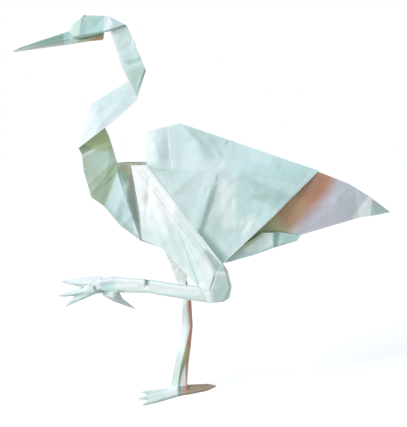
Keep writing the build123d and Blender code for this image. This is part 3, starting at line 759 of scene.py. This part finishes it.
# Mint tissue: thin machine-made tissue paper, dyed in the pulp and pressed smooth. It gives the eye
# a soft matt face, faint clouds where the pulp is thicker, short fibres, and paler lines where
# folding has broken the surface.
def mint_tissue(context):
    """The paper, made once and shared by every piece."""
    found = bpy.data.materials.get("mint_tissue")
    if found:
        return found
    paper = context.scene.crane_paper
    material, tree = new_material("mint_tissue")
    place = add_node(tree, "TexCoord").outputs["Object"]
    clouds = add_node(tree, "TexNoise", {
        "Scale": 1 / paper.cloud_spread, "Detail": 4.0, "Roughness": 0.6}, {"Vector": place})
    cloud_share = add_node(tree, "MapRange", {"From Min": 0.38, "From Max": 0.66},
                           {"Value": clouds.outputs["Fac"]})
    fibres = add_node(tree, "TexNoise", {
        "Scale": 1 / paper.fibre_length, "Detail": 3.0, "Roughness": 0.7, "Distortion": 1.2},
        {"Vector": place})
    pulp = add_node(tree, "Mix", {
        "data_type": "RGBA", MIX_FIRST: rgba(paper.colour), MIX_SECOND: rgba(paper.cloud_colour)},
        {"Factor": cloud_share.outputs["Result"]})
    # Painted light and shade: the shade attribute holds lighter and darker colours painted over facets,
    # folds and cast shadows, mixed over the paper's own colour
    shade = add_node(tree, "Attribute", {"attribute_name": "shade"})
    shaded = add_node(tree, "Mix", {"data_type": "RGBA"}, {
        "Factor": shade.outputs["Alpha"], MIX_FIRST: pulp.outputs[MIX_RESULT],
        MIX_SECOND: shade.outputs["Color"]})
    flecks = add_node(tree, "MapRange", {
        "From Min": 0.3, "From Max": 0.7, "To Min": 0.965, "To Max": 1.035},
        {"Value": fibres.outputs["Fac"]})
    flecked = add_node(tree, "VectorMath", {"operation": "SCALE"},
                       {"Vector": shaded.outputs[MIX_RESULT], "Scale": flecks.outputs["Result"]})
    crease = add_node(tree, "Attribute", {"attribute_name": "crease"})
    worn = add_node(tree, "Math", {"operation": "MULTIPLY", 1: paper.crease_strength},
                    {0: crease.outputs["Fac"]})
    colour = add_node(tree, "Mix", {"data_type": "RGBA", MIX_SECOND: rgba(paper.crease_colour)},
                      {"Factor": worn.outputs["Value"], MIX_FIRST: flecked.outputs["Vector"]})
    grain = add_node(tree, "Bump", {"Strength": 0.35, "Distance": paper.fibre_height},
                     {"Height": fibres.outputs["Fac"]})
    shader = add_node(tree, "BsdfPrincipled", {
        "Roughness": 0.62, "Specular IOR Level": 0.32, "IOR": 1.48},
        {"Base Color": colour.outputs[MIX_RESULT], "Normal": grain.outputs["Normal"]})
    add_node(tree, "OutputMaterial", {}, {"Surface": shader.outputs["BSDF"]})
    return material


class CRANE_OT_wings(Operator):
    """Folds both wings over their ridge, with the creases pressed into them"""

    bl_idname = "crane.wings"
    bl_label = "Fold the wings"

    def execute(self, context):
        fold_sheet(context, "wings", (
            "roll_mid roll_low shoulder brow_low brow roll_top",
            "roll_mid roll_top valley_top valley_mid valley_low roll_low",
            "valley_mid valley_top peak crest_mid crest_low valley_low",
            "dip crest_low crest_mid peak ridge_bend band_back dip_low crest_low",
            "roll_low valley_low band_low band_front", "roll_low band_front shoulder",
            "valley_low crest_low band_mid band_low", "band_mid crest_low dip_low band_back band_rear",
            "band_low band_mid valley_start hem_bend", "band_low hem_bend shoulder band_front",
            "hem_bend valley_start streak valley_end", "hem_bend valley_end hem",
            "lift valley_start rear_mid knee_zone valley_end streak valley_start",
            "valley_start band_mid band_rear rear_mid",
            "valley_end knee_zone hem", "knee_zone rear_mid rear_low hem",
            "rear_mid band_rear rear_line rear_rise rear_edge rear_low",
            "band_rear band_back rear_line", "rear_line band_back ridge_bend ridge_rear",
            "rear_line ridge_rear rump rear_fold rear_rise", "rear_rise rear_fold rear_edge",
            "rear_low rear_edge hem", "rear_fold rump rear_edge",
        ), hard=("valley_top valley_mid valley_low",), soft=14, seed=1)
        return {"FINISHED"}


class CRANE_OT_tail(Operator):
    """Folds the tail between the wings, and the vent flaps under it"""

    bl_idname = "crane.tail"
    bl_label = "Fold the tail"

    def execute(self, context):
        fold_sheet(context, "tail", (
            "tail_bow tail_root tail_top tail_a tail_mid under_b under_c under_d tail_end tail_root",
            "tail_mid tail_a light_top light_low under_a under_b",
            "light_top tail_a tail_b tip_low light_low", "tip_low tail_b tail_tip",
        ), hard=("light_top light_low", "tail_b tip_low"), soft=10, seed=2)
        fold_sheet(context, "vent_flaps", (
            "vent_dent vent_under vent_low vent_step vent_fold vent_top vent_back vent_side vent_under",
            "vent_side vent_back vent_end",
        ), hard=("vent_dent vent_top", "vent_dent vent_fold"), soft=2, seed=3)
        return {"FINISHED"}


class CRANE_OT_neck(Operator):
    """Folds the neck's three strips, each turned back over the last one"""

    bl_idname = "crane.neck"
    bl_label = "Fold the neck"

    def execute(self, context):
        fold_sheet(context, "lower_neck", (
            "strip_right lower_bend neck_root lower_fold lower_left strip_left",
            "strip_right strip_left lower_crease lower_top lower_bend",
            "lower_left lower_fold throat",
            "lower_fold neck_root breast_top throat",
        ), hard=("strip_left strip_right",), soft=3, seed=4)
        fold_sheet(context, "middle_neck", (
            "middle_face lower_top middle_top middle_crease middle_bend lower_crease lower_top",
        ), hard=(), soft=3, seed=5, lift=0.35, fine=0.8)
        fold_sheet(context, "upper_neck", (
            "upper_front upper_back middle_top middle_crease",
            "upper_front middle_crease upper_bend",
            "upper_front upper_bend upper_crease nape upper_back",
        ), hard=("upper_back upper_front upper_bend",), soft=2, seed=6, fine=0.8)
        return {"FINISHED"}


class CRANE_OT_head(Operator):
    """Folds the cheeks down over the neck, with the beak and the jaw below them"""

    bl_idname = "crane.head"
    bl_label = "Fold the head and beak"

    def execute(self, context):
        fold_sheet(context, "cheeks", (
            "cheek_front chin beak_top forehead crown_front",
            "cheek_front crown_front strip_top cheek_back",
            "cheek_back strip_top crown_back cheek_fold strip_low",
            "cheek_fold crown_back nape collar_back collar strip_low",
        ), seed=7, lift=0.2, fine=0.6)
        fold_sheet(context, "beak", (
            "beak_fold beak_tip beak_middle beak_top fold_root",
            "beak_fold fold_root jaw_root jaw_middle beak_tip_low beak_tip",
        ), seed=8, fine=0.6)
        fold_sheet(context, "jaw", (
            "jaw_fold fold_root beak_top forehead crown_front jaw_end",
            "jaw_fold jaw_end jaw_back jaw_low jaw_root fold_root",
        ), seed=9, fine=0.6)
        return {"FINISHED"}


class CRANE_OT_breast(Operator):
    """Folds the breast, and the groove between it and the thighs"""

    bl_idname = "crane.breast"
    bl_label = "Fold the breast"

    def execute(self, context):
        fold_sheet(context, "breast", (
            "breast_top neck_root throat keel_a", "breast_face breast_top keel_a keel_b keel_c",
            "breast_face keel_c groove_end groove_mid",
            "breast_face groove_mid groove_top neck_root breast_top",
            "groove_mid groove_end inner_front groove_top",
            "groove_end inner_front inner_top keel_d keel_c",
        ), hard=(
            "keel_a breast_top breast_face keel_c", "breast_top neck_root",
            "groove_top groove_mid groove_end",
        ), soft=8, seed=10)
        return {"FINISHED"}


class CRANE_OT_thighs(Operator):
    """Lays the pleated thighs on the wings' lower edges"""

    bl_idname = "crane.thighs"
    bl_label = "Fold the thighs"

    def execute(self, context):
        fold = context.scene.crane_fold
        width, height = fold.pleat_width / MM, fold.pleat_height / MM
        high, low = CORNERS["shoulder"][::2], CORNERS["hem"][::2]
        # The pleats lie side by side along the line from hem to shoulder, each further forward and
        # down than the last
        forward, down = 0.79, 0.61
        first, left_share, right_share = 0.55, 0.9, 0.35
        pleats = []
        for count in range(fold.pleats):
            away = (count + first) * fold.pleat_width / MM
            ends = [(x - forward * away, z - down * away) for x, z in (low, high)]
            pleats.append((*ends[0], *ends[1], left_share * width, right_share * width, height))
        fold_sheet(context, "drawn_thigh", (
            "thigh_middle shoulder hem knee_top knee_front knee_low knee_wrap thigh_end thigh_d",
            "thigh_middle thigh_d thigh_c thigh_b thigh_a", "thigh_middle thigh_a thigh_front shoulder",
        ), sides=[-1], hard=(), soft=4, seed=11, lift=0.5, relief=pleats)
        fold_sheet(context, "standing_thigh", (
            "far_shoulder haunch_a hip_back hip_front haunch_b haunch_c far_front",
        ), sides=[1], hard=(), soft=2, seed=21, lift=0.5, relief=pleats)
        return {"FINISHED"}


class CRANE_OT_drawn_leg(Operator):
    """Wraps the knee, and folds the drawn-up shin and its hanging foot"""

    bl_idname = "crane.drawn_leg"
    bl_label = "Fold the drawn-up leg"

    def execute(self, context):
        fold = context.scene.crane_fold
        middle = fold.middle / MM
        edge, instep = fold.toe_height / MM, fold.instep_height / MM
        tip = edge * TOE_TIP
        # How far the knee's back and the foot lie out from the middle plane
        knee_out, foot_out = 12.5, 10.8

        def on_knee(x, z, height):
            return Vector((x, middle - knee_out - height * fold.knee_depth / MM, z))

        fold_slab(context, "knee", dict(
            top=(20, 73.2, 0.6), a=(22.5, 69.5, 0.6), b=(24.7, 61.2, 0.6), c=(23.5, 55.4, 0.6),
            d=(20.6, 53.4, 0.6), e=(15.6, 52.9, 0.6), end=(7.7, 61.9, 0.6),
            cap_top=(15.9, 69.4, 1), cap_back=(21.4, 68.4, 0.95), cap_right=(23, 61, 0.95),
            cap_low=(20, 54.6, 0.95), cap_left=(13.4, 60.2, 1.1), cap_foot=(15.2, 53.6, 1),
        ), (
            "cap_left cap_foot cap_low cap_right cap_back cap_top", "top a cap_back cap_top",
            "a b cap_right cap_back", "b c cap_low cap_right", "c d cap_low", "d e cap_foot cap_low",
            "e end cap_left cap_foot", "end top cap_top cap_left",
        ), "top a b c d e end", on_knee, seed=31, fine=0.7, crumple=0.6)

        # Rings of the shin: how far in front of the knee and above it, height, how far out
        knee_x, knee_z, shin_depth = 14.7, 56.6, fold.shin_depth / MM
        bands = ((0, 0, 8.2, 14), (13, 1.2, 6.8, 13.4), (31.5, 4, 6.5, 12.2), (50, 4.6, 7.6, 11),
                 (57.5, 3.8, 6, 10.8))
        # Its section, in shares of its depth and height
        section = ((0.5, 0.5), (-0.3, 0.5), (-0.5, 0.36), (-0.5, -0.3), (-0.3, -0.5), (0.5, -0.5))
        rings = []
        for ahead, rise, height, out in bands:
            x, y, z = knee_x - ahead, middle - out, knee_z + rise
            rings.append([(x, y + across * shin_depth, z + up * height) for across, up in section])
        fold_rings(context, "shin", rings, seed=32, fine=0.7)

        ball_x, ball_z = -40.8, 59.4
        face = middle - foot_out + instep / 2

        def side_on(x, z, height):
            return Vector((ball_x + x, face - height, ball_z + z))

        fold_slab(context, "drawn_foot", dict(
            top=(0, 5.7, edge), toe_a_root=(-9.7, 5.2, edge), toe_a_tip=(-20.4, 2.9, tip),
            notch_a=(-9.2, -0.2, edge), toe_b_tip=(-22.3, -4.9, tip), notch_b=(-13.2, -4.6, edge),
            toe_c_tip=(-18.4, -10.6, tip), toe_c_root=(-4.5, -4.2, edge), low=(-0.8, -2.9, edge),
            back=(3.5, 0, edge), ridge_a=(-5.5, 2.6, instep * 0.8), ridge_b=(-7.5, -1.6, instep * 0.7),
            ridge_c=(-8, -5.2, instep * 0.62), heel=(0, 0.6, instep),
        ), (
            "ridge_a heel top toe_a_root toe_a_tip notch_a", "ridge_b ridge_a notch_a toe_b_tip notch_b",
            "ridge_c ridge_b notch_b toe_c_tip toe_c_root",
            "heel ridge_a ridge_b ridge_c toe_c_root low back top",
        ), "top toe_a_root toe_a_tip notch_a toe_b_tip notch_b toe_c_tip toe_c_root low back", side_on,
            seed=33, fine=0.6)
        fold_slab(context, "drawn_back_toe", dict(
            inner=(-1, -0.5, edge), upper_root=(7.5, 0.5, edge), upper=(10.7, -6.2, edge),
            tip=(17.2, -11.6, tip), lower=(6.5, -7.6, edge), under=(1.2, -4.5, edge),
            root=(6, -2.4, instep * 0.95), ridge=(6.6, -5.2, instep * 0.7), top=(3, 2.6, edge),
        ), (
            "ridge root upper tip lower under inner root", "root inner top upper_root upper",
        ), "inner top upper_root upper tip lower under", side_on, seed=34, fine=0.6)
        return {"FINISHED"}


class CRANE_OT_standing_leg(Operator):
    """Folds the standing leg, with a fold line that turns round it, and its foot"""

    bl_idname = "crane.standing_leg"
    bl_label = "Fold the standing leg"

    def execute(self, context):
        fold = context.scene.crane_fold
        edge, instep = fold.toe_height / MM, fold.instep_height / MM
        tip = edge * TOE_TIP
        hip_y, hip_z = fold.middle / MM + 5.5, 57.7
        deep = fold.leg_depth / MM
        # Rings of the leg: share of the hip's height, X, width, and where the fold line crosses it
        bands = ((1.0, -0.5, 5.4, 0.85), (0.84, 2.1, 4.4, 0.66), (0.6, 2.2, 5.8, 0.78),
                 (0.42, 0.9, 6.4, 0.6), (0.26, -0.6, 7.0, 0.42), (0.12, -1.6, 7.8, 0.42),
                 (0.0, -2.2, 8.8, 0.42))
        rings = []
        for share, x, width, line in bands:
            left, right, crest = x - width / 2, x + width / 2, x + width * (line - 0.5)
            y, z = hip_y * share, hip_z * share
            rings.append([(left, y, z), ((left + crest) / 2, y - deep * 0.3, z), (crest, y - deep / 2, z),
                          (right, y, z), (x, y + deep / 2, z)])
        fold_rings(context, "standing_shin", rings, seed=41, fine=0.7)

        def on_sole(x, y, height):
            return Vector((x, y, height))

        fold_slab(context, "standing_foot", dict(
            top=(0, 7, edge), toe_a_root=(-7.6, 1.6, edge), toe_a_side=(-18, -0.2, edge),
            toe_a_tip=(-22, -1.3, tip), notch_a=(-16.6, -4.5, edge), toe_b_tip=(-22.7, -10.1, tip),
            notch_b=(-17.1, -10.7, edge), toe_c_tip=(-19.9, -18.2, tip), toe_c_side=(-12.7, -14.1, edge),
            low=(-2, -5.7, edge), back=(3, -3.1, edge), heel=(0.6, 0.4, instep * 1.1),
            ridge_a=(-9, -1.4, instep * 0.75), ridge_b=(-10.5, -4.6, instep * 0.68),
            ridge_c=(-9.5, -8.2, instep * 0.62),
        ), (
            "ridge_a heel top toe_a_root toe_a_side toe_a_tip notch_a",
            "ridge_b ridge_a notch_a toe_b_tip notch_b", "ridge_c ridge_b notch_b toe_c_tip toe_c_side low",
            "heel ridge_a ridge_b ridge_c low back top",
        ), "top toe_a_root toe_a_side toe_a_tip notch_a toe_b_tip notch_b toe_c_tip toe_c_side low back",
            on_sole, seed=42, fine=0.6, plane=(0, 1))
        fold_slab(context, "standing_back_toe", dict(
            root=(0, 7, edge), upper=(13, 8.4, edge), tip=(16.9, 7.2, edge * 0.7),
            lower=(11.9, 1.3, edge), under=(2.2, -3.9, edge), ridge=(4.5, 3, instep * 0.8),
        ), (
            "ridge root upper tip lower under root",
        ), "root upper tip lower under", on_sole, seed=43, fine=0.6)
        return {"FINISHED"}


def seen_directly(tree):
    """1 for rays that show the background: straight from the camera, in a mirror or through glass."""
    path = add_node(tree, "LightPath")
    glossy = add_node(tree, "Math", {"operation": "MAXIMUM"},
                      {0: path.outputs["Is Camera Ray"], 1: path.outputs["Is Glossy Ray"]})
    return add_node(tree, "Math", {"operation": "MAXIMUM"},
                    {0: glossy.outputs["Value"], 1: path.outputs["Is Transmission Ray"]}).outputs["Value"]


# Table top: a matt pale board. It looks white to the camera, keeps the crane's shadow, and throws
# back warm light as a wooden table does.
def table_top(context):
    """The floor's material."""
    stage = context.scene.crane_stage
    material, tree = new_material("table_top")
    shown = add_node(tree, "BsdfDiffuse", {"Color": rgba(stage.floor_colour)})
    glow = add_node(tree, "Emission", {"Strength": stage.floor_glow})
    white = add_node(tree, "AddShader", {}, {0: shown.outputs["BSDF"], 1: glow.outputs["Emission"]})
    wood = add_node(tree, "BsdfDiffuse", {"Color": rgba(stage.bounce_colour)})
    mixed = add_node(tree, "MixShader", {},
                     {0: seen_directly(tree), 1: wood.outputs["BSDF"], 2: white.outputs["Shader"]})
    add_node(tree, "OutputMaterial", {}, {"Surface": mixed.outputs["Shader"]})
    return material


def add_lamp(scene, name, direction, distance, size, power, colour):
    """A square soft lamp that looks at the middle of the crane."""
    low, high = (Vector(corner) for corner in cad_box)
    lamp = bpy.data.lights.new(name, "AREA")
    lamp.size = size
    lamp.energy = power
    lamp.color = colour
    holder = bpy.data.objects.new(name, lamp)
    holder.location = (low + high) / 2 + direction.normalized() * distance
    holder.rotation_euler = direction.to_track_quat("Z", "Y").to_euler()
    scene.collection.objects.link(holder)


class CRANE_OT_stage(Operator):
    """Sets out the floor, the light and the camera"""

    bl_idname = "crane.stage"
    bl_label = "Set the stage"

    def execute(self, context):
        scene, stage = context.scene, context.scene.crane_stage
        half = stage.floor_size / 2
        mesh = bpy.data.meshes.new("floor")
        mesh.from_pydata([(-half, -half, 0), (half, -half, 0), (half, half, 0), (-half, half, 0)], [],
                         [(0, 1, 2, 3)])
        floor = bpy.data.objects.new("floor", mesh)
        mesh.materials.append(table_top(context))
        scene.collection.objects.link(floor)

        add_lamp(scene, "key", direction=Vector((-0.8, -0.42, 0.55)), distance=1.1, size=0.34,
                 power=stage.key_power, colour=stage.key_colour)
        add_lamp(scene, "glow", direction=Vector((0.8, -0.5, -0.06)), distance=0.9, size=0.3,
                 power=stage.glow_power, colour=stage.glow_colour)

        world = bpy.data.worlds.new("studio")
        scene.world = world
        world.use_nodes = True
        tree = world.node_tree
        tree.nodes.clear()
        fill = add_node(tree, "Background", {
            "Color": rgba(stage.fill_colour), "Strength": stage.fill_strength})
        white = add_node(tree, "Background", {"Color": (1, 1, 1, 1), "Strength": 1.0})
        mixed = add_node(tree, "MixShader", {}, {
            0: seen_directly(tree), 1: fill.outputs["Background"], 2: white.outputs["Background"]})
        add_node(tree, "OutputWorld", {}, {"Surface": mixed.outputs["Shader"]})

        # The photograph's middle
        aim = Vector((10.6, 0, 95.7)) * MM
        rise = stage.camera_rise
        camera = bpy.data.objects.new("camera", bpy.data.cameras.new("camera"))
        camera.data.lens = stage.camera_lens
        camera.location = aim + Vector((0, -cos(rise), sin(rise))) * stage.camera_distance
        camera.rotation_euler = (pi / 2 - rise, 0, 0)
        scene.collection.objects.link(camera)
        scene.camera = camera
        scene.view_settings.view_transform = "Standard"
        return {"FINISHED"}


class CRANE_PT_panel(Panel):
    """Lists the crane's settings and steps"""

    bl_idname = "CRANE_PT_panel"
    bl_label = "Folded crane"
    bl_space_type = "VIEW_3D"
    bl_region_type = "UI"
    bl_category = "Crane"

    def draw(self, context):
        scene = context.scene
        for title, group in (("Paper", scene.crane_paper), ("Fold", scene.crane_fold),
                             ("Stage", scene.crane_stage)):
            box = self.layout.box()
            box.label(text=title)
            for word in group.__annotations__:
                box.prop(group, word)
        for step in STEPS:
            self.layout.operator(step.bl_idname)


STEPS = (CRANE_OT_wings, CRANE_OT_tail, CRANE_OT_neck, CRANE_OT_head, CRANE_OT_breast, CRANE_OT_thighs,
         CRANE_OT_drawn_leg, CRANE_OT_standing_leg, CRANE_OT_stage)
CLASSES = (CranePaper, CraneFold, CraneStage, *STEPS, CRANE_PT_panel)


def register():
    for item in CLASSES:
        bpy.utils.register_class(item)
    bpy.types.Scene.crane_paper = PointerProperty(type=CranePaper)
    bpy.types.Scene.crane_fold = PointerProperty(type=CraneFold)
    bpy.types.Scene.crane_stage = PointerProperty(type=CraneStage)


def unregister():
    del bpy.types.Scene.crane_stage
    del bpy.types.Scene.crane_fold
    del bpy.types.Scene.crane_paper
    for item in reversed(CLASSES):
        bpy.utils.unregister_class(item)


def main():
    """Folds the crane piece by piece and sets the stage."""
    register()
    bpy.ops.crane.wings()
    bpy.ops.crane.tail()
    bpy.ops.crane.neck()
    bpy.ops.crane.head()
    bpy.ops.crane.breast()
    bpy.ops.crane.thighs()
    bpy.ops.crane.drawn_leg()
    bpy.ops.crane.standing_leg()
    bpy.ops.crane.stage()


if __name__ == "__main__":
    main()
